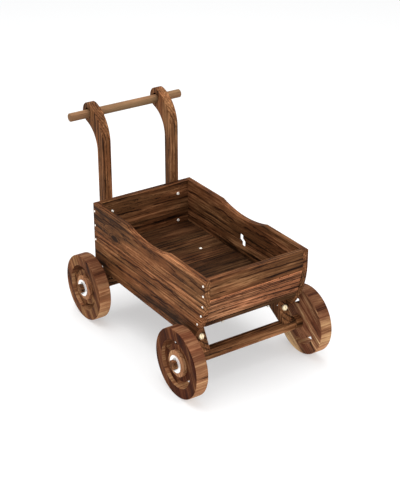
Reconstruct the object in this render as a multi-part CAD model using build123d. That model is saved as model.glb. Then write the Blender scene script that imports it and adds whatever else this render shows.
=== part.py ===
"""A small wooden push wagon: an open plank box on two axles with four turning wheels, and a push handle
of two bent posts and a cross dowel. Millimetres, +Z up, the front looks towards -Y, the handle is at +Y.
The origin is on the ground, under the middle of the whole wagon."""

import os
from math import cos, radians, sin, sqrt

from build123d import *

# ---------------------------------------------------------------- driving dimensions

# plank box
box_length = 525.0
box_width = 302.0  # over the two sides
rim_height = 318.0  # top edge of the box above the ground
skirt_height = 134.0  # lower edge of the two sides above the ground
plank = 15.0  # thickness of every side, front and rear plank
side_seam_height = 236.0  # joint between the two planks of a side
front_seam_height = 264.0
rear_seam_height = 238.0
rear_bottom_height = 148.0
seam_gap = 0.6
arris = 0.6  # eased edge of every plank
front_lip = 2.2  # wider bevel along the top of the lower front plank

# hollow in the rim of each side, and the bow of its front end
dip_half_length = 97.0
dip_depth = 15.0
bow_start_height = 281.0
bow_radius = 212.0

# floor
floor_top_height = 197.5
floor_plank = 15.0
slat_width = 108.5
slat_gap = 1.5
floor_front_setback = 22.5  # from the front of the box to the front edge of the floor
batten_width = 40.0
batten_thickness = 18.0
batten_inset = 23.0  # from the inner face of the gussets
batten_front_setback = 62.0
batten_rear_gap = 0.5

# knot hole in the right side, along the branch that left it
knot_y = -13.0
knot_height = 243.5
knot_length = 29.0
knot_width = 12.0
knot_lean = 5.0  # sideways step of each half
knot_rearward_slant = 1.5  # run per unit of plank thickness
knot_downward_slant = 0.9

# wheels and axles
wheel_diameter = 180.0
wheel_thickness = 35.0
wheel_edge_radius = 3.0
wheel_outer_face = 203.5  # from the centre line
front_axle_setback = 47.5  # behind the front of the box
rear_axle_setback = 21.5  # ahead of the rear of the box
axle_shoulder = 0.5  # the square middle part is wider than its round ends by this on each side
axle_bar_length = 300.0
axle_bevel = 2.0
axle_end_diameter = 25.0
axle_end_proud = 11.0  # past the outer face of the wheel
running_clearance = 0.5
hub_recess_diameter = 125.0  # turned into the outer face of the wheel, round the hub ring
hub_recess_depth = 10.0
hub_ring_diameter = 68.0
hub_ring_thickness = 9.0
hub_ring_bevel = 1.5
outer_washer_diameter = 45.0
spacer_diameter = 34.0  # sleeve between the square bar and the wheel
washer_thickness = 2.0
pin_diameter = 4.0
pin_length = 36.0
pin_gap = 0.2

# two kidney-shaped slots through each wheel, about the hub
kidney_radius = 55.0
kidney_width = 14.0
kidney_spans = ((24.0, 82.0), (212.0, 272.0))  # first and last angle, from the rear over the top

# gussets that carry the axles
gusset_thickness = 25.0
gusset_top_near = 32.0  # from the axle centre to the near end of the gusset's top edge
gusset_top_far = 148.0

# push handle
post_width = 24.0
post_arris = 1.5
post_depth = 31.0
post_offset = 103.0  # post centre from the centre line
post_bottom_height = 150.0
post_bend_height = 472.0
post_front_radius = 94.0
post_back_radius = 70.0
post_head_radius = 27.0
post_head_angle = 106.0  # where the front curve runs into the head
dowel_diameter = 22.5
dowel_length = 337.0
dowel_hole_diameter = 27.5
dowel_bevel = 1.5

# nails, screws and lag bolts: shank diameter, length under the head, head diameter, head height
nail = (2.4, 42.0, 5.6, 1.3)
floor_nail = (2.4, 30.0, 7.5, 1.5)
post_screw = (4.5, 38.0, 8.5, 1.8)
dowel_screw = (3.5, 24.0, 7.0, 1.5)
batten_screw = (4.0, 28.0, 8.0, 1.5)
axle_screw = (5.0, 42.0, 10.0, 2.0)
lag_bolt = (7.0, 30.0, 16.5, 4.5)
pilot_clearance = 0.15
nail_heights_front = (303.0, 276.0, 247.0, 219.0)
nail_heights_rear = (296.0, 255.0, 214.0)
floor_end_nail_inset = 12.0
gusset_nail_inset = 16.0  # from the axle centre towards the box
gusset_nail_height = 145.0
axle_screw_inset = 4.0
post_screw_heights = (286.0, 206.0)
nailed_slats = (2, 4)
lag_bolt_height = 138.0
lag_bolt_offset = 2.5  # outwards from the middle of the gusset

# ---------------------------------------------------------------- worked-out places, box centred on Y = 0

front = -box_length / 2
rear = box_length / 2
side_inner = box_width / 2 - plank
inner_width = 2 * side_inner
floor_bottom_height = floor_top_height - floor_plank
axle_height = wheel_diameter / 2
axle_side = axle_end_diameter + 2 * axle_shoulder
front_axle_y = front + front_axle_setback
rear_axle_y = rear - rear_axle_setback
wheel_inner_face = wheel_outer_face - wheel_thickness
hub_ring_seat = wheel_outer_face - hub_recess_depth
hub_ring_face = hub_ring_seat + hub_ring_thickness
axle_half_length = wheel_outer_face + axle_end_proud
axle_hole_diameter = axle_end_diameter + 2 * running_clearance
gusset_centre = side_inner - gusset_thickness / 2
batten_offset = gusset_centre - gusset_thickness / 2 - batten_inset - batten_width / 2
front_lower_height = front_seam_height - seam_gap / 2

post_head_y = rear + post_front_radius + (post_front_radius - post_head_radius) * cos(radians(post_head_angle))
post_head_height = post_bend_height + (post_front_radius - post_head_radius) * sin(radians(post_head_angle))
dowel_height = post_head_height - (dowel_hole_diameter - dowel_diameter) / 2

post_head_rear = post_head_y + post_head_radius
whole_front = front_axle_y - wheel_diameter / 2
whole_rear = post_head_rear + dowel_screw[3]
to_origin = Location((0, -(whole_front + whole_rear) / 2, 0))


def bow_inset(height):
    """How far the bowed front end lies behind the front of the box at a height."""
    drop = max(0.0, bow_start_height - height)
    return bow_radius - sqrt(bow_radius**2 - drop**2)


# ---------------------------------------------------------------- small helpers


def block(x0, x1, y0, y1, z0, z1):
    """An upright block between two opposite corners."""
    centre = Location(((x0 + x1) / 2, (y0 + y1) / 2, (z0 + z1) / 2))
    return centre * Box(x1 - x0, y1 - y0, z1 - z0)


def eased(piece, size=arris):
    """The piece with all its edges eased by a small chamfer."""
    return chamfer(piece.edges(), size)


def upright_plate(points, x0, x1):
    """A plate between two X planes, with a closed outline of (y, z) points."""
    face = make_face(Polyline(*points, close=True))
    return extrude(Plane.YZ.offset(x0) * face, x1 - x0)


def mirrored_x(piece):
    """The same piece on the other side of the centre line."""
    return mirror(piece, about=Plane.YZ)


def boxes_meet(a, b):
    """Whether two bounding boxes overlap."""
    return (
        a.min.X < b.max.X
        and b.min.X < a.max.X
        and a.min.Y < b.max.Y
        and b.min.Y < a.max.Y
        and a.min.Z < b.max.Z
        and b.min.Z < a.max.Z
    )


def drilled(piece, holes):
    """The piece with every pilot hole that reaches it."""
    around = piece.bounding_box()
    reaching = [hole for hole, bounds in holes if boxes_meet(around, bounds)]
    return piece - reaching if reaching else piece


def fastener(seat, sizes, slot=False):
    """A round-headed fastener, with its head on the seat plane and its shank below it."""
    shank_diameter, length, head_diameter, head_height = sizes
    shank = Cylinder(shank_diameter / 2, length, align=(Align.CENTER, Align.CENTER, Align.MAX))
    tip = shank.edges().filter_by(GeomType.CIRCLE).sort_by(Axis.Z)[0]
    shank = chamfer(tip, shank_diameter * 0.4)
    head = Cylinder(head_diameter / 2, head_height, align=(Align.CENTER, Align.CENTER, Align.MIN))
    head = fillet(head.edges().sort_by(Axis.Z)[-1], head_height * 0.8)
    body = shank + head
    if slot:
        groove = Box(head_diameter * 0.75, head_height * 0.35, head_height * 0.5)
        body = body - Location((0, 0, head_height)) * groove
    return seat * body


def pilot(seat, sizes):
    """The hole that a fastener's shank needs."""
    shank_diameter, length = sizes[:2]
    radius = shank_diameter / 2 + pilot_clearance
    drill = Cylinder(radius, length + pilot_clearance, align=(Align.CENTER, Align.CENTER, Align.MAX))
    return seat * drill


# ---------------------------------------------------------------- where the fasteners go


def side_nail_seats(side):
    """Nail seats on one side of the box: front end, floor end, rear end and gussets."""
    places = []
    for height in nail_heights_front:
        places.append((front + bow_inset(height) + plank / 2, height))
    floor_middle = floor_top_height - floor_plank / 2
    places.append((front + bow_inset(floor_middle) + floor_end_nail_inset, floor_middle))
    for height in nail_heights_rear:
        places.append((rear - plank / 2, height))
    places.append((front_axle_y + gusset_nail_inset, gusset_nail_height))
    places.append((rear_axle_y - gusset_nail_inset, gusset_nail_height))
    return [Plane((side * box_width / 2, y, z), z_dir=(side, 0, 0)) for y, z in places]


def slat_span(number):
    """Rear and front edge of a floor slat, counted from the rear."""
    slat_rear = rear - plank - (number - 1) * (slat_width + slat_gap)
    slat_front = max(slat_rear - slat_width, front + floor_front_setback)
    return slat_rear, slat_front


def slat_middle(number):
    slat_rear, slat_front = slat_span(number)
    return (slat_rear + slat_front) / 2


slat_count = 1
while slat_span(slat_count)[1] > front + floor_front_setback:
    slat_count += 1

left_nail_seats = side_nail_seats(-1)
right_nail_seats = side_nail_seats(1)
floor_nail_seats = [
    Plane((side * batten_offset, slat_middle(number), floor_top_height), z_dir=(0, 0, 1))
    for number in nailed_slats
    if number <= slat_count
    for side in (-1, 1)
]
batten_screw_seats = [
    Plane((side * batten_offset, slat_middle(number), floor_bottom_height - batten_thickness), z_dir=(0, 0, -1))
    for number in range(1, slat_count + 1)
    if number not in nailed_slats
    for side in (-1, 1)
]
post_screw_seats = [
    Plane((side * post_offset, rear - plank, height), z_dir=(0, -1, 0))
    for side in (-1, 1)
    for height in post_screw_heights
]
dowel_screw_seats = [
    Plane((side * post_offset, post_head_rear, post_head_height), z_dir=(0, 1, 0)) for side in (-1, 1)
]
axle_screw_seats = [
    Plane((side * gusset_centre, y, axle_height - axle_side / 2), z_dir=(0, 0, -1))
    for y in (front_axle_y + axle_screw_inset, rear_axle_y - axle_screw_inset)
    for side in (-1, 1)
]


def lag_bolt_seat(side, axle_y, inward):
    """Seat on the sloping outer edge of a gusset; inward is +1 at the front and -1 at the rear."""
    foot_height = axle_height + axle_side / 2
    run = gusset_top_near + axle_side / 2
    rise = floor_bottom_height - foot_height
    along = (lag_bolt_height - foot_height) / rise
    y = axle_y + inward * (along * run - axle_side / 2)
    return Plane((side * (gusset_centre + lag_bolt_offset), y, lag_bolt_height), z_dir=(0, -inward * rise, run))


lag_bolt_seats = [
    lag_bolt_seat(side, axle_y, inward)
    for axle_y, inward in ((front_axle_y, 1), (rear_axle_y, -1))
    for side in (-1, 1)
]

all_pilots = (
    [pilot(seat, nail) for seat in left_nail_seats + right_nail_seats]
    + [pilot(seat, floor_nail) for seat in floor_nail_seats]
    + [pilot(seat, batten_screw) for seat in batten_screw_seats]
    + [pilot(seat, post_screw) for seat in post_screw_seats]
    + [pilot(seat, dowel_screw) for seat in dowel_screw_seats]
    + [pilot(seat, axle_screw) for seat in axle_screw_seats]
    + [pilot(seat, lag_bolt) for seat in lag_bolt_seats]
)


# ---------------------------------------------------------------- plank box


def side_panel():
    """The whole right side in one piece: hollowed rim, bowed front end, square rear end."""
    toe = front + bow_inset(skirt_height)
    middle_height = (bow_start_height + skirt_height) / 2
    outline = [
        Line((toe, skirt_height), (rear, skirt_height)),
        Line((rear, skirt_height), (rear, rim_height)),
        Line((rear, rim_height), (dip_half_length, rim_height)),
        ThreePointArc(
            (dip_half_length, rim_height), (0, rim_height - dip_depth), (-dip_half_length, rim_height)
        ),
        Line((-dip_half_length, rim_height), (front, rim_height)),
        Line((front, rim_height), (front, bow_start_height)),
        ThreePointArc(
            (front, bow_start_height), (front + bow_inset(middle_height), middle_height), (toe, skirt_height)
        ),
    ]
    return extrude(Plane.YZ.offset(side_inner) * make_face(outline), plank)


def knot_hole():
    """An S-shaped hole that slants back and down through the right side."""
    end = knot_length / 2
    half = knot_width / 2
    lean = knot_lean
    turn = knot_length / 7
    upper = [(lean + half, 0), (lean + half, end), (lean - half, end), (lean - half, turn)]
    lower = [(-y, -z) for y, z in upper]
    outline = Polyline(*[(knot_y + y, knot_height + z) for y, z in upper + lower], close=True)
    face = make_face(outline)
    face = fillet(face.vertices(), knot_width / 5)
    slant = Vector(1, knot_rearward_slant, -knot_downward_slant)
    before = slant * plank
    start = Plane.YZ.offset(side_inner - plank) * face
    return extrude(start.moved(Location((0, -before.Y, -before.Z))), 3 * plank * slant.length, dir=slant)


panel = side_panel()
side_upper = eased(split(panel, Plane.XY.offset(side_seam_height + seam_gap / 2), keep=Keep.TOP))
side_lower = eased(split(panel, Plane.XY.offset(side_seam_height - seam_gap / 2), keep=Keep.BOTTOM))
knot = knot_hole()

front_upper = eased(
    block(-side_inner, side_inner, front, front + plank, front_seam_height + seam_gap / 2, rim_height)
)
lower_top_y = front + bow_inset(front_lower_height)
lower_bottom_y = front + bow_inset(floor_top_height)
front_slope = (lower_bottom_y - lower_top_y) / (front_lower_height - floor_top_height)
level_thickness = plank * sqrt(1 + front_slope**2)
front_lower = upright_plate(
    [
        (lower_top_y, front_lower_height),
        (lower_top_y + level_thickness, front_lower_height),
        (lower_bottom_y + level_thickness, floor_top_height),
        (lower_bottom_y, floor_top_height),
    ],
    -side_inner,
    side_inner,
)
lip = front_lower.edges().filter_by(Axis.X).group_by(Axis.Z)[-1].sort_by(Axis.Y)[0]
front_lower = eased(chamfer(lip, front_lip))
rear_upper = eased(
    block(-side_inner, side_inner, rear - plank, rear, rear_seam_height + seam_gap / 2, rim_height)
)
rear_lower = eased(
    block(-side_inner, side_inner, rear - plank, rear, rear_bottom_height, rear_seam_height - seam_gap / 2)
)

boards = {
    "right_side_upper_plank": side_upper - knot,
    "right_side_lower_plank": side_lower - knot,
    "left_side_upper_plank": mirrored_x(side_upper),
    "left_side_lower_plank": mirrored_x(side_lower),
    "front_upper_plank": front_upper,
    "front_lower_plank": front_lower,
    "rear_upper_plank": rear_upper,
    "rear_lower_plank": rear_lower,
}
for number in range(1, slat_count + 1):
    slat_rear, slat_front = slat_span(number)
    slat = block(-side_inner, side_inner, slat_front, slat_rear, floor_bottom_height, floor_top_height)
    boards[f"floor_slat_{number}"] = eased(slat)

batten_front = front + batten_front_setback
batten_rear = rear - plank - batten_rear_gap
for name, side in (("left", -1), ("right", 1)):
    batten = block(
        side * batten_offset - batten_width / 2,
        side * batten_offset + batten_width / 2,
        batten_front,
        batten_rear,
        floor_bottom_height - batten_thickness,
        floor_bottom_height,
    )
    boards[f"{name}_floor_batten"] = eased(batten)


# ---------------------------------------------------------------- gussets and axles


def gusset(axle_y, inward, side):
    """A raked plate from the floor down to the top of an axle, against the inner face of a side."""
    foot = axle_height + axle_side / 2
    points = [
        (axle_y - inward * axle_side / 2, foot),
        (axle_y + inward * axle_side / 2, foot),
        (axle_y + inward * gusset_top_far, floor_bottom_height),
        (axle_y + inward * gusset_top_near, floor_bottom_height),
    ]
    inner = side * gusset_centre - gusset_thickness / 2
    return eased(upright_plate(points, inner, inner + gusset_thickness))


def axle(axle_y):
    """A square bar under the gussets with a round end for each wheel, cross-drilled for the pins."""
    bar = eased(Box(axle_bar_length, axle_side, axle_side), axle_bevel)
    spindle = Rotation(0, 90, 0) * Cylinder(axle_end_diameter / 2, 2 * axle_half_length)
    spindle = chamfer(spindle.edges().filter_by(GeomType.CIRCLE), 1.0)
    drill = Cylinder(pin_diameter / 2 + pilot_clearance, pin_length)
    whole = bar + spindle - [Location((side * pin_x, 0, 0)) * drill for side in (-1, 1)]
    return Location((0, axle_y, axle_height)) * whole


outer_washer_x = hub_ring_face + running_clearance + washer_thickness / 2
pin_x = outer_washer_x + washer_thickness / 2 + pin_gap + pin_diameter / 2

for end, axle_y, inward in (("front", front_axle_y, 1), ("rear", rear_axle_y, -1)):
    for name, side in (("left", -1), ("right", 1)):
        boards[f"{end}_{name}_gusset"] = gusset(axle_y, inward, side)
    boards[f"{end}_axle"] = axle(axle_y)


# ---------------------------------------------------------------- push handle


def post_blank():
    """A handle post: straight up the rear of the box, then bent back into a round head."""
    post_back = rear + post_depth
    bend_centre = Vector(rear + post_front_radius, post_bend_height)
    head = Vector(post_head_y, post_head_height)
    hollow_y = post_back + post_back_radius
    reach = post_back_radius + post_head_radius
    hollow = Vector(hollow_y, post_head_height - sqrt(reach**2 - (hollow_y - post_head_y) ** 2))
    hollow_end = hollow + (head - hollow) * (post_back_radius / reach)
    front_end = bend_centre + (head - bend_centre).normalized() * post_front_radius
    hollow_angle = (hollow_end - hollow).get_signed_angle(Vector(-1, 0)) / 2
    hollow_middle = hollow + Vector(-post_back_radius, 0).rotate(Axis.Z, -abs(hollow_angle))
    front_angle = (180 - post_head_angle) / 2
    front_middle = bend_centre + Vector(-post_front_radius, 0).rotate(Axis.Z, -front_angle)
    head_middle = head + Vector(post_head_radius, 0).rotate(Axis.Z, 16)
    outline = [
        Line((rear, post_bottom_height), (post_back, post_bottom_height)),
        Line((post_back, post_bottom_height), hollow + Vector(-post_back_radius, 0)),
        ThreePointArc(hollow + Vector(-post_back_radius, 0), hollow_middle, hollow_end),
        ThreePointArc(hollow_end, head_middle, front_end),
        ThreePointArc(front_end, front_middle, (rear, post_bend_height)),
        Line((rear, post_bend_height), (rear, post_bottom_height)),
    ]
    blank = extrude(Plane.YZ.offset(-post_width / 2) * make_face(outline), post_width)
    hole = Location((0, post_head_y, post_head_height)) * Rotation(0, 90, 0)
    return eased(blank, post_arris) - hole * Cylinder(dowel_hole_diameter / 2, 2 * post_width)


post = post_blank()
boards["left_handle_post"] = Location((-post_offset, 0, 0)) * post
boards["right_handle_post"] = Location((post_offset, 0, 0)) * post
dowel = Rotation(0, 90, 0) * Cylinder(dowel_diameter / 2, dowel_length)
dowel = chamfer(dowel.edges().filter_by(GeomType.CIRCLE), dowel_bevel)
boards["handle_dowel"] = Location((0, post_head_y, dowel_height)) * dowel

bounded_pilots = [(hole, hole.bounding_box()) for hole in all_pilots]
nodes = {name: drilled(piece, bounded_pilots) for name, piece in boards.items()}

nodes["left_side_nails"] = [fastener(seat, nail) for seat in left_nail_seats]
nodes["right_side_nails"] = [fastener(seat, nail) for seat in right_nail_seats]
nodes["floor_nails"] = [fastener(seat, floor_nail) for seat in floor_nail_seats]
nodes["batten_screws"] = [fastener(seat, batten_screw, slot=True) for seat in batten_screw_seats]
nodes["post_screws"] = [fastener(seat, post_screw, slot=True) for seat in post_screw_seats]
nodes["dowel_screws"] = [fastener(seat, dowel_screw) for seat in dowel_screw_seats]
nodes["axle_screws"] = [fastener(seat, axle_screw, slot=True) for seat in axle_screw_seats]
nodes["gusset_lag_bolts"] = [fastener(seat, lag_bolt, slot=True) for seat in lag_bolt_seats]


# ---------------------------------------------------------------- wheels, modelled on the right at the origin

def disc(x0, x1, diameter, y=0.0, z=0.0):
    """A cylinder along X between two X planes."""
    along_x = Location(((x0 + x1) / 2, y, z)) * Rotation(0, 90, 0)
    return along_x * Cylinder(diameter / 2, x1 - x0)


def wheel_disc():
    """A solid wheel with a running hole, a turned recess round the hub and two kidney-shaped slots."""
    wheel = disc(wheel_inner_face, wheel_outer_face, wheel_diameter)
    wheel = fillet(wheel.edges().filter_by(GeomType.CIRCLE), wheel_edge_radius)
    wheel = wheel - disc(wheel_inner_face, wheel_outer_face, axle_hole_diameter)
    wheel = wheel - disc(hub_ring_seat, wheel_outer_face, hub_recess_diameter)
    for first, last in kidney_spans:
        path = CenterArc((0, 0), kidney_radius, first, last - first)
        slot = Plane.YZ.offset(wheel_inner_face) * SlotArc(path, kidney_width)
        wheel = wheel - extrude(slot, wheel_thickness)
    return wheel


def hub_ring():
    """A wooden ring glued into the recess of a wheel."""
    ring = disc(hub_ring_seat, hub_ring_face, hub_ring_diameter)
    ring = chamfer(ring.edges().filter_by(GeomType.CIRCLE).sort_by(Axis.X)[-1], hub_ring_bevel)
    return ring - disc(hub_ring_seat, hub_ring_face, axle_hole_diameter)


def ring_round_axle(x0, x1, outer_diameter):
    """A washer or sleeve round the axle end, between two X planes."""
    return disc(x0, x1, outer_diameter) - disc(x0, x1, axle_hole_diameter)


wheel_set = {"wheel": wheel_disc(), "hub_ring": hub_ring()}
half_washer = washer_thickness / 2
axle_fittings = {
    "hub_washers": ring_round_axle(
        outer_washer_x - half_washer, outer_washer_x + half_washer, outer_washer_diameter
    ),
    "spacer_sleeves": ring_round_axle(
        axle_bar_length / 2, wheel_inner_face - running_clearance, spacer_diameter
    ),
    "axle_pins": Location((pin_x, 0, 0)) * Cylinder(pin_diameter / 2, pin_length),
}

for end, axle_y in (("front", front_axle_y), ("rear", rear_axle_y)):
    on_axle = Location((0, axle_y, axle_height))
    for name, solid in wheel_set.items():
        nodes[f"{end}_right_{name}"] = on_axle * solid
        nodes[f"{end}_left_{name}"] = on_axle * mirrored_x(solid)
    for name, solid in axle_fittings.items():
        nodes.setdefault(name, []).extend([on_axle * solid, on_axle * mirrored_x(solid)])


# ---------------------------------------------------------------- one STEP file per node

os.makedirs("parts", exist_ok=True)
for name, piece in nodes.items():
    pieces = piece if isinstance(piece, list) else [piece]
    solids = [solid.moved(to_origin) for part in pieces for solid in part.solids()]
    whole = solids[0] if len(solids) == 1 else Compound(children=solids)
    export_step(whole, f"parts/{name}.step")
print(f"{len(nodes)} nodes, overall {axle_half_length * 2:.1f} x {whole_rear - whole_front:.1f} mm")
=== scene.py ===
# %% [markdown]
# # A wooden push wagon
#
# This lesson dresses a finished model of a small push wagon: an open plank box on two axles, four solid
# wheels, and a handle of two bent posts with a dowel. The frame holds every solid at its real place, in
# metres. The lesson sets up the camera, the floor and the lamps, and then gives each solid its wood or metal.

from math import cos, pi, radians, sin

import bpy
from mathutils import Euler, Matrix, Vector


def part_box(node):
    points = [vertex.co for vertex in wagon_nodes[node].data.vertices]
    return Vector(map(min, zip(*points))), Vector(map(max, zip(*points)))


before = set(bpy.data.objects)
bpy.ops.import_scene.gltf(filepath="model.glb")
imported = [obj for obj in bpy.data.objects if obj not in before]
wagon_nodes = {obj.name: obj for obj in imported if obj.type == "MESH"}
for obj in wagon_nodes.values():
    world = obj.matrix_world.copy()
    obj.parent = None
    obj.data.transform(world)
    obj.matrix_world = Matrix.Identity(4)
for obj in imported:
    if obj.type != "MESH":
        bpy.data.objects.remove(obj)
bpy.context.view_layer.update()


# %% [markdown]
# ## Where things are
#
# Places are read from the frame, so a changed wagon still gets its materials in the right spots. `middle`
# gives the centre of a solid, which is nearly all this lesson needs.

# %% Read places from the frame
def middle(node):
    """The centre of a solid."""
    low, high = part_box(node)
    return (low + high) / 2


wheel_names = [f"{end}_{side}" for end in ("front", "rear") for side in ("left", "right")]
floor_slats = sorted(name for name in wagon_nodes if name.startswith("floor_slat"))
print("slats:", len(floor_slats), "wheels:", len(wheel_names))


# %% [markdown]
# ## Camera
#
# A product picture is taken from a few metres away with a long lens, so that upright edges stay nearly
# upright. The camera is set by its aim point, its two angles and its distance, which is easier to adjust than
# a position.

# %% Aim the camera
def point_camera(aim, azimuth, elevation, distance, lens):
    """A camera that looks at a point from two angles and a distance."""
    a, e = radians(azimuth), radians(elevation)
    back = Vector((sin(a) * cos(e), -cos(a) * cos(e), sin(e)))
    bpy.ops.object.camera_add(location=Vector(aim) + back * distance)
    camera = bpy.context.object
    camera.name = "studio_camera"
    camera.rotation_euler = back.to_track_quat("Z", "Y").to_euler()
    camera.data.sensor_fit = "HORIZONTAL"
    camera.data.sensor_width = 36.0
    camera.data.lens = lens
    camera.data.clip_end = 100.0
    bpy.context.scene.camera = camera
    return camera


aim_point = (0.00895, -0.03254, 0.2613)
camera = point_camera(aim_point, azimuth=-33.709, elevation=26.723, distance=3.1579, lens=111.86)
print("camera at", [round(v, 3) for v in camera.location])

# %% [markdown]
# ## Floor
#
# The wagon stands on a large pale sheet, so wide that its far edge is out of sight. A curved backdrop would
# do as well, but a flat sheet under white surroundings needs no bend to hide. It glows a little, as a light
# table does, which keeps the shade on it pale.


# %% Lay the floor
def new_material(name):
    """An empty node material with its output, its shader and its node tree."""
    material = bpy.data.materials.new(name)
    material.use_nodes = True
    tree = material.node_tree
    tree.nodes.clear()
    output = tree.nodes.new("ShaderNodeOutputMaterial")
    shader = tree.nodes.new("ShaderNodeBsdfPrincipled")
    tree.links.new(shader.outputs["BSDF"], output.inputs["Surface"])
    return material, shader, tree


FLOOR_SIZE = 60.0
PAPER_GREY = (0.47, 0.472, 0.474, 1)
PAPER_GLOW = 0.41

bpy.ops.mesh.primitive_plane_add(size=FLOOR_SIZE, location=(0, 0, 0))
floor = bpy.context.object
floor.name = "studio_floor"
paper, paper_shader, _ = new_material("pale_paper")
paper_shader.inputs["Base Color"].default_value = PAPER_GREY
paper_shader.inputs["Roughness"].default_value = 0.9
paper_shader.inputs["Specular IOR Level"].default_value = 0.0
paper_shader.inputs["Emission Color"].default_value = (1, 1, 1, 1)
paper_shader.inputs["Emission Strength"].default_value = PAPER_GLOW
floor.data.materials.append(paper)
print("floor:", FLOOR_SIZE, "m wide")


# %% [markdown]
# ## Lamps
#
# One big lamp overhead makes the soft pool of shade under the box, two broad lamps at the front and the left
# model the planks, and the white surroundings fill the rest. Small lamps would draw hard shadows: softness
# depends on how large a lamp looks from the object.

# %% Hang the lamps
def hang_lamp(name, position, aim, size, watts):
    """A square soft lamp that faces a point."""
    bpy.ops.object.light_add(type="AREA", location=position)
    lamp = bpy.context.object
    lamp.name = name
    lamp.rotation_euler = (Vector(position) - Vector(aim)).to_track_quat("Z", "Y").to_euler()
    lamp.data.shape = "SQUARE"
    lamp.data.size = size
    lamp.data.energy = watts


hang_lamp("overhead_softbox", (-0.2, 0.3, 2.6), (0, 0, 0.2), size=2.6, watts=62.0)
hang_lamp("front_softbox", (1.2, -3.0, 1.6), (0, 0, 0.3), size=1.8, watts=40.0)
hang_lamp("left_fill", (-3.0, -1.2, 1.3), (0, 0, 0.3), size=2.0, watts=14.0)

world = bpy.data.worlds.new("white_studio")
world.use_nodes = True
world.node_tree.nodes["Background"].inputs["Color"].default_value = (1, 1, 1, 1)
world.node_tree.nodes["Background"].inputs["Strength"].default_value = 1.0
bpy.context.scene.world = world
bpy.context.scene.view_settings.view_transform = "Standard"
bpy.context.scene.view_settings.look = "None"

# %% [markdown]
# ## Helpers for shaders
#
# A procedural material is a graph of small nodes, and each node takes several lines to make, set and join.
# The helpers below make a group or one node and hand back its result, so the wood further down reads like a
# formula.


# %% Helpers to build a shader group
def new_group(name, inputs, outputs):
    """A shader group with named sockets. Each socket is (name, kind, default)."""
    group = bpy.data.node_groups.new(name, "ShaderNodeTree")
    for socket_name, kind, default in inputs:
        socket = group.interface.new_socket(socket_name, in_out="INPUT", socket_type=f"NodeSocket{kind}")
        socket.default_value = default
    for socket_name, kind in outputs:
        group.interface.new_socket(socket_name, in_out="OUTPUT", socket_type=f"NodeSocket{kind}")
    return group, group.nodes.new("NodeGroupInput"), group.nodes.new("NodeGroupOutput")


def wire(tree, value, socket):
    """Links an output to a socket, or sets the socket's value."""
    if isinstance(value, bpy.types.NodeSocket):
        tree.links.new(value, socket)
    else:
        socket.default_value = value


def calc(tree, operation, *values, clamp=False):
    """One Math node: its result."""
    node = tree.nodes.new("ShaderNodeMath")
    node.operation = operation
    node.use_clamp = clamp
    for value, socket in zip(values, node.inputs):
        wire(tree, value, socket)
    return node.outputs["Value"]


def vector_calc(tree, operation, *values):
    """One Vector Math node: its vector."""
    node = tree.nodes.new("ShaderNodeVectorMath")
    node.operation = operation
    for value, socket in zip(values, node.inputs):
        wire(tree, value, socket)
    return node.outputs["Value" if operation in ("LENGTH", "DOT_PRODUCT") else "Vector"]


def grain_noise(tree, point, stretch, seed, detail, roughness=0.5):
    """Noise that is stretched along the grain: its value and its colour."""
    node = tree.nodes.new("ShaderNodeTexNoise")
    node.noise_dimensions = "4D"
    wire(tree, vector_calc(tree, "MULTIPLY", point, stretch), node.inputs["Vector"])
    wire(tree, seed, node.inputs["W"])
    node.inputs["Scale"].default_value = 1.0
    node.inputs["Detail"].default_value = detail
    node.inputs["Roughness"].default_value = roughness
    return node.outputs[0], node.outputs[1]


def rescale(tree, value, low, high, to_low=0.0, to_high=1.0, smooth=True):
    """One Map Range node: its result."""
    node = tree.nodes.new("ShaderNodeMapRange")
    node.interpolation_type = "SMOOTHSTEP" if smooth else "LINEAR"
    wire(tree, value, node.inputs["Value"])
    wire(tree, low, node.inputs["From Min"])
    wire(tree, high, node.inputs["From Max"])
    wire(tree, to_low, node.inputs["To Min"])
    wire(tree, to_high, node.inputs["To Max"])
    return node.outputs["Result"]


def blend_colours(tree, factor, first, second):
    """One Mix node for colours: its result."""
    node = tree.nodes.new("ShaderNodeMix")
    node.data_type = "RGBA"
    wire(tree, factor, node.inputs[0])
    wire(tree, first, node.inputs[6])
    wire(tree, second, node.inputs[7])
    return node.outputs[2]


helpers = (new_group, wire, calc, vector_calc, grain_noise, rescale, blend_colours)
print("helpers:", [helper.__name__ for helper in helpers])


# %% [markdown]
# ## Wood that has rings
#
# A plank is a slice of a log. Its lines are the log's yearly rings cut at a slant, so the best way to draw
# them is to build the log: measure how far a point lies from the pith, wrinkle that distance a little, and
# repeat it ring by ring. Faces, edges and end grain then agree by themselves, which a flat picture can't do.
# The group below takes a point in the log's own space, with the grain along X and the pith at zero. It adds
# long streaks of stain, fine fibres, dark cracks, a faint blush, and one optional knot that the rings flow
# round.

# %% Build the ring-grown wood group
# How many features each noise has in a metre: few along the grain, many across it.
FEATURES = {
    "wander": (2.2, 11, 11),
    "streak": (8.0, 210, 210),
    "fibre": (28, 620, 620),
    "patch": (6.0, 16, 16),
    "crack": (7.0, 85, 85),
    "blush": (5.0, 24, 24),
}


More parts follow.
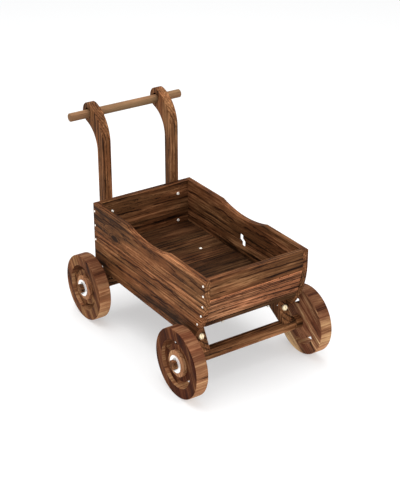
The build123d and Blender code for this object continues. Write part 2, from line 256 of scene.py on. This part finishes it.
def build_log_wood():
    """Colour, roughness and height of stained wood, from a point in the log's own space."""
    group, given, result = new_group(
        "log_wood",
        [
            ("Vector", "Vector", (0, 0, 0)),
            ("Seed", "Float", 0.0),
            ("Ring Width", "Float", 0.007),
            ("Waviness", "Float", 0.02),
            ("Pale", "Color", (0.40, 0.2, 0.1, 1)),
            ("Middle", "Color", (0.16, 0.07, 0.032, 1)),
            ("Dark", "Color", (0.02, 0.008, 0.004, 1)),
            ("Scorch", "Float", 0.5),
            ("Lift", "Float", 0.0),
            ("Knot Place", "Vector", (0, 0, 0)),
            ("Knot Size", "Float", 0.0001),
        ],
        [("Color", "Color"), ("Roughness", "Float"), ("Height", "Float")],
    )
    point, seed = given.outputs["Vector"], given.outputs["Seed"]

    _, wander = grain_noise(group, point, FEATURES["wander"], seed, 2.0)
    wander = vector_calc(group, "SUBTRACT", wander, (0.5, 0.5, 0.5))
    reach = group.nodes.new("ShaderNodeVectorMath")
    reach.operation = "SCALE"
    wire(group, wander, reach.inputs["Vector"])
    wire(group, given.outputs["Waviness"], reach.inputs["Scale"])
    bent = vector_calc(group, "ADD", point, reach.outputs["Vector"])
    from_pith = vector_calc(group, "LENGTH", vector_calc(group, "MULTIPLY", bent, (0, 1, 1)))

    knot_way = vector_calc(group, "SUBTRACT", bent, given.outputs["Knot Place"])
    from_knot = vector_calc(group, "LENGTH", vector_calc(group, "MULTIPLY", knot_way, (0.5, 1, 1)))
    knot_size = given.outputs["Knot Size"]
    near_knot = rescale(group, from_knot, calc(group, "MULTIPLY", knot_size, 2.6), knot_size)
    in_knot = rescale(group, from_knot, knot_size, 0.0)
    ring_way = group.nodes.new("ShaderNodeMix")
    wire(group, near_knot, ring_way.inputs[0])
    wire(group, from_pith, ring_way.inputs[2])
    wire(group, from_knot, ring_way.inputs[3])

    year = calc(group, "FRACT", calc(group, "DIVIDE", ring_way.outputs[0], given.outputs["Ring Width"]))
    late = calc(group, "MULTIPLY", rescale(group, year, 0.55, 0.93), rescale(group, year, 1.0, 0.95))

    streak, _ = grain_noise(group, bent, FEATURES["streak"], seed, 4.0, 0.7)
    fibre, _ = grain_noise(group, bent, FEATURES["fibre"], seed, 2.0, 0.6)
    patch_seed, crack_seed, blush_seed = (calc(group, "ADD", seed, step) for step in (7.3, 3.1, 11.0))
    patch, _ = grain_noise(group, bent, FEATURES["patch"], patch_seed, 4.0, 0.6)
    crack, _ = grain_noise(group, bent, FEATURES["crack"], crack_seed, 4.0, 0.65)
    streak = rescale(group, streak, 0.34, 0.66)
    patch = rescale(group, patch, 0.36, 0.64)

    early = calc(group, "SUBTRACT", 1.0, late)
    fibre_swing = calc(group, "SUBTRACT", fibre, 0.5)
    tone = given.outputs["Lift"]
    for part, weight in ((streak, 0.36), (early, 0.18), (patch, 0.24), (fibre_swing, 0.45)):
        tone = calc(group, "MULTIPLY_ADD", part, weight, tone)
    line = rescale(group, calc(group, "ABSOLUTE", calc(group, "SUBTRACT", crack, 0.5)), 0.016, 0.0)
    burn = calc(group, "ADD", calc(group, "MULTIPLY", late, 0.38), line)
    burn = calc(group, "MULTIPLY", burn, calc(group, "SUBTRACT", 1.25, patch))
    burn = calc(group, "MULTIPLY", burn, given.outputs["Scorch"], clamp=True)
    tone = calc(group, "SUBTRACT", tone, calc(group, "MULTIPLY", burn, 0.55))
    tone = calc(group, "SUBTRACT", tone, calc(group, "MULTIPLY", in_knot, 0.7), clamp=True)

    dark, middle_brown, pale = (given.outputs[name] for name in ("Dark", "Middle", "Pale"))
    low = blend_colours(group, rescale(group, tone, 0.02, 0.40), dark, middle_brown)
    colour = blend_colours(group, rescale(group, tone, 0.40, 0.85), low, pale)
    blush, _ = grain_noise(group, bent, FEATURES["blush"], blush_seed, 2.0)
    plain_tint, red_tint = (0.99, 1.01, 1.0, 1), (1.05, 0.95, 0.93, 1)
    tint = blend_colours(group, rescale(group, blush, 0.42, 0.62), plain_tint, red_tint)
    wire(group, vector_calc(group, "MULTIPLY", colour, tint), result.inputs["Color"])
    wire(group, rescale(group, tone, 0.0, 0.9, 0.60, 0.78), result.inputs["Roughness"])
    height = calc(group, "ADD", calc(group, "MULTIPLY", tone, 0.6), calc(group, "MULTIPLY", fibre, 0.4))
    wire(group, height, result.inputs["Height"])
    return group


log_wood = build_log_wood()
print("log wood nodes:", len(log_wood.nodes))


# %% [markdown]
# ## A board from the log
#
# Each board gets its own log: where the pith ran, which way the grain goes, and a seed. A Mapping node set to
# Texture moves the point into that log's space, so one group serves every board. A stain is three colours,
# for the pale, the middle and the dark parts of the wood.

# %% Place a log
# The turn that lays a log's grain along each axis.
GRAIN_ALONG = {"X": (0, 0, 0), "Y": (0, 0, pi / 2), "Z": (0, -pi / 2, 0)}

brown_stain = {
    "Pale": (0.400, 0.190, 0.085, 1),
    "Middle": (0.130, 0.052, 0.020, 1),
    "Dark": (0.020, 0.0080, 0.0034, 1),
}


def log_sample(tree, point, pith, turn, seed, ring, waviness, scorch, lift, stain):
    """The log wood group at a point, and the point in the log's own space."""
    into_log = tree.nodes.new("ShaderNodeMapping")
    into_log.vector_type = "TEXTURE"
    into_log.inputs["Location"].default_value = pith
    into_log.inputs["Rotation"].default_value = turn
    wood = tree.nodes.new("ShaderNodeGroup")
    wood.node_tree = log_wood
    tree.links.new(point, into_log.inputs["Vector"])
    tree.links.new(into_log.outputs["Vector"], wood.inputs["Vector"])
    settings = {"Seed": seed, "Ring Width": ring, "Waviness": waviness, "Scorch": scorch, "Lift": lift}
    for socket_name, value in {**settings, **stain}.items():
        wood.inputs[socket_name].default_value = value
    return wood, into_log.outputs["Vector"]


def shaded(stain, share):
    """The same stain, lighter or darker: one share for all, or one each for red, green and blue."""
    shares = share if isinstance(share, tuple) else (share, share, share)
    return {name: (*[a * b for a, b in zip(shares, colour)], 1) for name, colour in stain.items()}


print("brown stain:", shaded(brown_stain, 1.0))


# %% [markdown]
# ## Marks on a board
#
# Old boards carry marks that no noise alone would put in the right spot: dark veins that run along the grain,
# and pale bevels, partly where the stain wore off and partly a painted highlight where edges catch the light.
# Each is a mask, a value from 0 to 1 worked out from the point or from the direction the surface faces. The
# colour is then multiplied by a tint where the mask is 1.

# %% Helpers for masks and tints
def tinted(tree, colour, mask, full, clear=(1, 1, 1)):
    """A colour times one tint where a mask is 1 and another where it is 0."""
    return vector_calc(tree, "MULTIPLY", colour, blend_colours(tree, mask, (*clear, 1), (*full, 1)))


def axis_parts(tree, vector):
    """The X, Y and Z of a vector, by name."""
    apart = tree.nodes.new("ShaderNodeSeparateXYZ")
    tree.links.new(vector, apart.inputs["Vector"])
    return apart.outputs


def vein_mask(tree, log_point, height, width, wander, seed):
    """A broken dark line that wanders along the grain at a height in the log."""
    sway, _ = grain_noise(tree, log_point, (9.0, 4.0, 4.0), seed, 3.0, 0.6)
    broken, _ = grain_noise(tree, log_point, (14.0, 9.0, 9.0), seed + 4.0, 2.0)
    line = calc(tree, "MULTIPLY_ADD", calc(tree, "SUBTRACT", sway, 0.5), wander, height)
    gap = calc(tree, "ABSOLUTE", calc(tree, "SUBTRACT", axis_parts(tree, log_point)["Z"], line))
    return calc(tree, "MULTIPLY", rescale(tree, gap, width, width * 0.25), rescale(tree, broken, 0.38, 0.52))


# The bevels it marks are made pale: partly wear, partly a painted highlight.
def bevel_wear_and_highlight_mask(tree, place):
    """1 on bevels, where no part of the normal is long, and 0 on flat faces."""
    facing = axis_parts(tree, vector_calc(tree, "ABSOLUTE", place.outputs["Normal"]))
    longest = calc(tree, "MAXIMUM", facing["X"], facing["Y"])
    longest = calc(tree, "MAXIMUM", longest, facing["Z"])
    return rescale(tree, longest, 0.86, 0.76)


print("masks:", [mask.__name__ for mask in (vein_mask, bevel_wear_and_highlight_mask)])


# %% [markdown]
# ## One finished board
#
# Stained wood without varnish hardly glints, so the shader's reflection is turned down and a fine relief is
# added from the same rings and fibres. Some boards also get veins, a tone that fades from one end to the
# other, pale bevels that are partly wear and partly a painted highlight, or painted shade on the faces
# that point up.

# %% Make wood for one board
WOOD_GLINT = 0.04
VEIN_TINT = (0.20, 0.15, 0.13)
# Tint of the painted shade on the faces that point up.
TOP_SHADE_TINT = (1.0, 0.95, 0.92)


def join_surface(tree, shader, colour, roughness, height, strength, distance):
    """Joins a colour, a roughness and a fine relief to a shader."""
    bump = tree.nodes.new("ShaderNodeBump")
    bump.inputs["Strength"].default_value = strength
    bump.inputs["Distance"].default_value = distance
    tree.links.new(height, bump.inputs["Height"])
    tree.links.new(colour, shader.inputs["Base Color"])
    tree.links.new(roughness, shader.inputs["Roughness"])
    tree.links.new(bump.outputs["Normal"], shader.inputs["Normal"])


def finish_wood(tree, shader, colour, roughness, height, relief):
    """Joins a wood's surface to its shader, which glints far less than varnish would."""
    join_surface(tree, shader, colour, roughness, height, 0.6, relief)
    shader.inputs["Specular IOR Level"].default_value = WOOD_GLINT


def board_wood(
    name, pith, grain, seed, stain=brown_stain, ring=0.007, waviness=0.012, scorch=0.9,
    knot=None, relief=0.0006, lift=0.0, veins=(), fade=None, edge=1.0, top=1.0,
):
    """A wood material for a board, whose log had its pith at one point and its grain along one axis.

    A knot is (point, size), veins are (height, width, wander), and a fade is (axis, start, end, lift at
    start, lift at end). An edge above 1 makes bevels paler, partly wear and partly a painted highlight. A
    top below 1 paints shade on the faces that point up.
    """
    material, shader, tree = new_material(name)
    turn = GRAIN_ALONG.get(grain, grain)
    place = tree.nodes.new("ShaderNodeTexCoord")
    point = place.outputs["Object"]
    wood, log_point = log_sample(tree, point, pith, turn, seed, ring, waviness, scorch, lift, stain)
    if knot:
        knot_point, knot_size = knot
        to_log = Euler(turn).to_matrix().inverted()
        wood.inputs["Knot Place"].default_value = to_log @ (Vector(knot_point) - Vector(pith))
        wood.inputs["Knot Size"].default_value = knot_size
    if fade:
        axis, start, end, lift_start, lift_end = fade
        along = axis_parts(tree, point)[axis]
        wire(tree, rescale(tree, along, start, end, lift_start, lift_end), wood.inputs["Lift"])
    colour = wood.outputs["Color"]
    for count, (height, width, wander) in enumerate(veins):
        dark_line = vein_mask(tree, log_point, height - pith[2], width, wander, seed + 9.0 * count)
        colour = tinted(tree, colour, dark_line, VEIN_TINT)
    # Pale bevels: partly wear, and partly a painted highlight where the edges meet the light.
    if edge > 1:
        colour = tinted(tree, colour, bevel_wear_and_highlight_mask(tree, place), (edge, edge, edge))
    # Painted shade: faces that point up are darkened against the strong light of the overhead lamp.
    if top < 1:
        top_shade_mask = rescale(tree, axis_parts(tree, place.outputs["Normal"])["Z"], 0.8, 0.95)
        colour = tinted(tree, colour, top_shade_mask, [top * part for part in TOP_SHADE_TINT])
    finish_wood(tree, shader, colour, wood.outputs["Roughness"], wood.outputs["Height"], relief)
    return material


dressed = set()


def dress(node, material):
    """Gives a solid one material, and remembers that it has one."""
    mesh = wagon_nodes[node].data
    mesh.materials.clear()
    mesh.materials.append(material)
    dressed.add(node)


def dress_board(node, pith, grain, seed, share=1.0, stain=brown_stain, **looks):
    """Gives a solid a wood of its own, in a lighter or darker share of a stain."""
    dress(node, board_wood(f"stain_{node}", pith, grain, seed, shaded(stain, share), **looks))


# The second tint is the painted shade on the faces that point up.
print("veins are tinted", VEIN_TINT, "and painted top shade", TOP_SHADE_TINT)


# %% [markdown]
# ## Sides of the box
#
# Side boards run front to back, so their grain runs along Y. The pith is set a few centimetres behind each
# face, which gives the arched lines of a flat-sawn board. The upper board of the left side has a knot near
# its rear end. The shares make the right-hand boards, whose inner faces are seen, darker than the left-hand
# ones.

# %% Dress the sides
def behind_face(node, axis, depth, rise=0.0):
    """A pith point behind a board's face: a depth along one axis, and a rise above the board's middle."""
    point = middle(node)
    point[axis] += depth
    point.z += rise
    return point


left_low, left_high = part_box("left_side_upper_plank")
left_knot = (left_low.x, left_high.y - 0.108, left_low.z + 0.020)
rear_fade = ("Y", left_low.y + 0.10, left_high.y - 0.12, 0.14, -0.06)
lower_low, lower_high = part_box("left_side_lower_plank")
low_fade = ("Z", lower_low.z, lower_high.z, -0.20, 0.05)
side_vein, end_vein = (0.0035, 0.030), (0.003, 0.014)

# Name, depth and rise of the pith, seed, share of the stain, knot, fade, heights of the veins.
side_boards = [
    ("left_side_upper_plank", 0.060, 0.012, 3.1, 1.0, (left_knot, 0.013), rear_fade, (0.291,)),
    ("left_side_lower_plank", 0.075, -0.020, 8.4, 1.0, None, low_fade, (0.222, 0.180)),
    ("right_side_upper_plank", 0.070, 0.010, 12.7, 0.76, None, None, (0.285,)),
    ("right_side_lower_plank", 0.055, 0.020, 17.2, 0.76, None, None, (0.215,)),
]
for node, depth, rise, seed, share, knot, fade, heights in side_boards:
    pith = behind_face(node, 0, depth, rise)
    veins = [(height, *side_vein) for height in heights]
    marks = {"knot": knot, "veins": veins, "fade": fade}
    # top=0.7 paints shade on the top faces; edge gives pale bevels, partly wear and partly painted highlight.
    dress_board(node, pith, "Y", seed, share, scorch=0.65, edge=1.3, top=0.7, **marks)
print("side boards:", len(side_boards))

# %% [markdown]
# ## Ends of the box
#
# The end boards run across, so their grain is along X. The lower front board is cut from paler wood than the
# rest, and its share above 1 also paints in the light that it meets. Its bevels are the palest: a painted
# highlight along the seam under the upper board.

# %% Dress the ends
# Name, depth and rise of the pith, seed, share of the stain, heights of the veins, tint of the bevels.
end_boards = [
    ("front_upper_plank", 0.08, 0.0, 21.5, 0.72, (0.298, 0.276), 1.5),
    # Lower front board: paler wood with painted light, and a painted highlight on its bevels.
    ("front_lower_plank", 0.09, -0.03, 25.9, (1.75, 1.80, 2.10), (0.250, 0.214), 3.5),
    ("rear_upper_plank", 0.07, 0.01, 31.3, 0.72, (0.272,), 1.5),
    ("rear_lower_plank", 0.06, -0.01, 36.8, 0.72, (0.221,), 1.5),
]
for node, depth, rise, seed, share, heights, edge in end_boards:
    pith = behind_face(node, 1, depth, rise)
    veins = [(height, *end_vein) for height in heights]
    # top=0.7 paints shade on the top faces; edge gives pale bevels, partly wear and partly painted highlight.
    dress_board(node, pith, "X", seed, share, veins=veins, edge=edge, top=0.7)
print("end boards:", len(end_boards))

# %% [markdown]
# ## Floor of the box
#
# The slats lie low in the box, and their low shares are painted shade, so they are the darkest boards, each a
# little different from its neighbour. Their pale bevels, a painted highlight, are what shows the gaps. The
# battens beneath are plain brown wood.

# %% Dress the floor slats and battens
# Painted shade: low shares darken the floor inside the box, a little differently from slat to slat.
slat_shade_shares = (0.26, 0.36, 0.25, 0.38, 0.28)
for count, node in enumerate(floor_slats):
    pith = behind_face(node, 1, 0.01 * count, -0.05)
    share = slat_shade_shares[count % len(slat_shade_shares)]
    dress_board(node, pith, "X", 41.0 + 3.7 * count, share, edge=1.8)
for node in ("left_floor_batten", "right_floor_batten"):
    dress_board(node, behind_face(node, 0, 0.03, -0.03), "Y", 60.0 + len(node))
print("floor slats:", len(floor_slats))

# %% [markdown]
# ## Posts, axles and gussets
#
# Posts are sawn with the grain upright and axles with it crosswise, because wood is strong along its grain.
# Both have slightly narrower rings than the planks. Each gusset is a small board with its grain upright.

# %% Dress the posts, axles and gussets
for seed, node, share in ((66.1, "left_handle_post", 1.0), (69.4, "right_handle_post", 0.88)):
    dress_board(node, behind_face(node, 0, 0.04, 0.0), "Z", seed, share, ring=0.006)
for seed, node in ((72.6, "front_axle"), (75.2, "rear_axle")):
    dress_board(node, behind_face(node, 1, 0.03, -0.02), "X", seed, 0.85, ring=0.006)
for count, end in enumerate(("front", "rear")):
    for side in ("left", "right"):
        node = f"{end}_{side}_gusset"
        dress_board(node, behind_face(node, 0, 0.03), "Z", 80.0 + 4.1 * count + len(side))
print("frame pieces dressed, left post:", wagon_nodes["left_handle_post"].data.materials[0].name)

# %% [markdown]
# ## Wheels
#
# A solid wheel is cut from a wide board, so straight bands of light and dark wood cross its face, at an angle
# that differs from wheel to wheel. The tread shows that board's edge, with painted shade at its top, under
# the box, and painted light at its bottom. One material does both: the direction that the surface faces
# picks one wood or the other. The inner face of the front right wheel lies in the box's shade, and its much
# larger share is painted light.

# %% Dress the wheels
wheel_stain = {
    "Pale": (0.420, 0.215, 0.105, 1),
    "Middle": (0.135, 0.045, 0.021, 1),
    "Dark": (0.018, 0.006, 0.003, 1),
}
hub_stain = {
    "Pale": (0.50, 0.29, 0.155, 1),
    "Middle": (0.27, 0.130, 0.062, 1),
    "Dark": (0.06, 0.024, 0.010, 1),
}
tread_stain = {
    "Pale": (0.520, 0.300, 0.160, 1),
    "Middle": (0.230, 0.100, 0.050, 1),
    "Dark": (0.045, 0.015, 0.008, 1),
}
# Slant of the bands in radians, then the shares of the stain on the face and on the tread.
wheel_looks = {
    "front_left": (1.15, (0.52, 0.47, 0.43), 0.95),
    # The front right face's large share is painted light: its inner face lies in the box's shade.
    "front_right": (0.60, (1.37, 1.70, 1.90), 0.80),
    "rear_left": (1.0, (0.53, 0.50, 0.46), 0.90),
    "rear_right": (0.7, 0.90, 0.85),
}


def wheel_wood(name, centre, turn, seed, face_share, tread_share):
    """Broad bands across the faces, and a few crosswise lines on the tread, with painted shade at its top."""
    material, shader, tree = new_material(name)
    place = tree.nodes.new("ShaderNodeTexCoord")
    point = place.outputs["Object"]
    face, face_point = log_sample(
        tree, point, centre + Vector((0.03, 0.06, 0.01)), turn, seed,
        ring=0.030, waviness=0.05, scorch=0.45, lift=0.05, stain=shaded(wheel_stain, face_share),
    )
    band, _ = grain_noise(tree, face_point, (1.5, 26.0, 26.0), seed + 2.0, 1.0)
    band = rescale(tree, band, 0.44, 0.56)
    pale_band, dark_band = (1.4, 1.5, 1.4), (0.62, 0.50, 0.46)
    face_colour = tinted(tree, face.outputs["Color"], band, pale_band, dark_band)

    tread, tread_point = log_sample(
        tree, point, centre + Vector((0, 0.30, 0.22)), (0, 0, 0), seed + 1.7,
        ring=0.045, waviness=0.03, scorch=0.25, lift=0.10, stain=shaded(tread_stain, tread_share),
    )
    # Painted shade darkens the top of the tread, and painted light brightens its bottom.
    patch, _ = grain_noise(tree, tread_point, (9.0, 22.0, 22.0), seed, 2.0)
    height = calc(tree, "MULTIPLY_ADD", patch, 0.08, axis_parts(tree, point)["Z"])
    tread_light_mask = rescale(tree, height, centre.z + 0.095, centre.z + 0.035)
    tread_painted_light, tread_painted_shade = (1.20, 1.20, 1.10), (0.48, 0.39, 0.36)
    tread_colour = tinted(tree, tread.outputs["Color"], tread_light_mask, tread_painted_light, tread_painted_shade)

    sideways = calc(tree, "ABSOLUTE", axis_parts(tree, place.outputs["Normal"])["X"])
    on_face = rescale(tree, sideways, 0.45, 0.75)
    colour = blend_colours(tree, on_face, tread_colour, face_colour)
    relief = calc(tree, "ADD", face.outputs["Height"], tread.outputs["Height"])
    finish_wood(tree, shader, colour, face.outputs["Roughness"], relief, 0.0004)
    return material


for count, name in enumerate(wheel_names):
    centre = middle(f"{name}_wheel")
    grain_turn, face_share, tread_share = wheel_looks[name]
    turn = (0, -grain_turn, pi / 2)
    wood = wheel_wood(f"stain_{name}_wheel", centre, turn, 90.0 + 5.3 * count, face_share, tread_share)
    dress(f"{name}_wheel", wood)
    hub_pith = centre + Vector((0.03, 0.05, 0))
    hub_looks = {"stain": hub_stain, "ring": 0.008, "waviness": 0.02, "scorch": 0.2}
    dress_board(f"{name}_hub_ring", hub_pith, turn, 120.0 + 2.9 * count, **hub_looks)

print("wheels and hub rings:", 2 * len(wheel_names))

# %% [markdown]
# ## Handle dowel
#
# The dowel is bought-in round stock, tan and even, with less figure than the sawn boards and a finer relief.

# %% Dress the dowel
dowel_stain = {
    "Pale": (0.250, 0.150, 0.080, 1),
    "Middle": (0.170, 0.098, 0.050, 1),
    "Dark": (0.075, 0.040, 0.020, 1),
}
pith = middle("handle_dowel") + Vector((0, 0.02, 0.01))
dowel_looks = {"ring": 0.006, "waviness": 0.01, "scorch": 0.1, "relief": 0.0002}
dress("handle_dowel", board_wood("tan_dowel", pith, "X", 140.0, dowel_stain, **dowel_looks))
print("wood materials:", sum(m.name.startswith("stain_") for m in bpy.data.materials))

# %% [markdown]
# ## Metal
#
# Nail heads, washers and bolts are small, so what matters is that they glint. One group mottles any metal: it
# darkens it in freckles where the plating is thin, and makes those spots duller.

# %% Build the mottled metal group
def build_mottled_metal():
    """Colour, roughness and height of a plated metal with thin spots."""
    group, given, result = new_group(
        "mottled_metal",
        [
            ("Vector", "Vector", (0, 0, 0)),
            ("Bright", "Color", (0.9, 0.9, 0.9, 1)),
            ("Dull", "Color", (0.4, 0.4, 0.4, 1)),
            ("Wear", "Float", 0.4),
            ("Base Roughness", "Float", 0.3),
        ],
        [("Color", "Color"), ("Roughness", "Float"), ("Height", "Float")],
    )
    point = given.outputs["Vector"]
    freckle, _ = grain_noise(group, point, (420, 420, 420), 2.0, 3.0, 0.6)
    cloud, _ = grain_noise(group, point, (90, 90, 90), 5.0, 2.0)
    thin = calc(group, "MULTIPLY", rescale(group, freckle, 0.5, 0.72), rescale(group, cloud, 0.4, 0.65))
    thin = calc(group, "MULTIPLY", thin, given.outputs["Wear"], clamp=True)
    colour = blend_colours(group, thin, given.outputs["Bright"], given.outputs["Dull"])
    roughness = calc(group, "MULTIPLY_ADD", thin, 0.35, given.outputs["Base Roughness"])
    wire(group, colour, result.inputs["Color"])
    wire(group, roughness, result.inputs["Roughness"])
    wire(group, freckle, result.inputs["Height"])
    return group


mottled_metal = build_mottled_metal()
print("metal nodes:", len(mottled_metal.nodes))


def metal_finish(name, bright, dull, wear, roughness, metallic):
    """A metal material from the mottled metal group."""
    material, shader, tree = new_material(name)
    place = tree.nodes.new("ShaderNodeTexCoord")
    metal = tree.nodes.new("ShaderNodeGroup")
    metal.node_tree = mottled_metal
    tree.links.new(place.outputs["Object"], metal.inputs["Vector"])
    settings = {"Bright": (*bright, 1), "Dull": (*dull, 1), "Wear": wear, "Base Roughness": roughness}
    for socket_name, value in settings.items():
        metal.inputs[socket_name].default_value = value
    colour, roughness, height = (metal.outputs[part] for part in ("Color", "Roughness", "Height"))
    join_surface(tree, shader, colour, roughness, height, 0.3, 0.0001)
    shader.inputs["Metallic"].default_value = metallic
    return material


# %% [markdown]
# ## Nails, washers, pins and bolts
#
# Each metal is two colours, an amount of wear, a roughness and a metallic share. Pure metal mirrors its
# surroundings and goes dark where those are dark. Small heads look right with a lower share, which keeps some
# of their own colour in the shade. The spacer sleeves are wood, and sit out of sight behind the wheels.

# %% Dress the metal pieces
# Bright colour, dull colour, wear, roughness, metallic share.
metal_looks = {
    "nail_steel": ((0.97, 0.93, 0.85), (0.50, 0.43, 0.35), 0.4, 0.45, 0.15),
    "washer_zinc": ((0.98, 0.98, 0.97), (0.60, 0.58, 0.55), 0.35, 0.35, 0.5),
    "pin_steel": ((0.55, 0.54, 0.52), (0.22, 0.20, 0.18), 0.7, 0.40, 1.0),
    "bolt_brass": ((0.72, 0.60, 0.40), (0.36, 0.26, 0.14), 0.7, 0.45, 0.55),
}
metals = {name: metal_finish(name, *looks) for name, looks in metal_looks.items()}
metal_of = {
    "nails": "nail_steel",
    "screws": "nail_steel",
    "washers": "washer_zinc",
    "pins": "pin_steel",
    "lag_bolts": "bolt_brass",
}
for node in wagon_nodes:
    for ending, metal in metal_of.items():
        if node.endswith(ending):
            dress(node, metals[metal])
dress_board("spacer_sleeves", middle("spacer_sleeves"), "X", 150.0)

print("dressed solids:", len(dressed), "undressed:", sorted(set(wagon_nodes) - dressed))
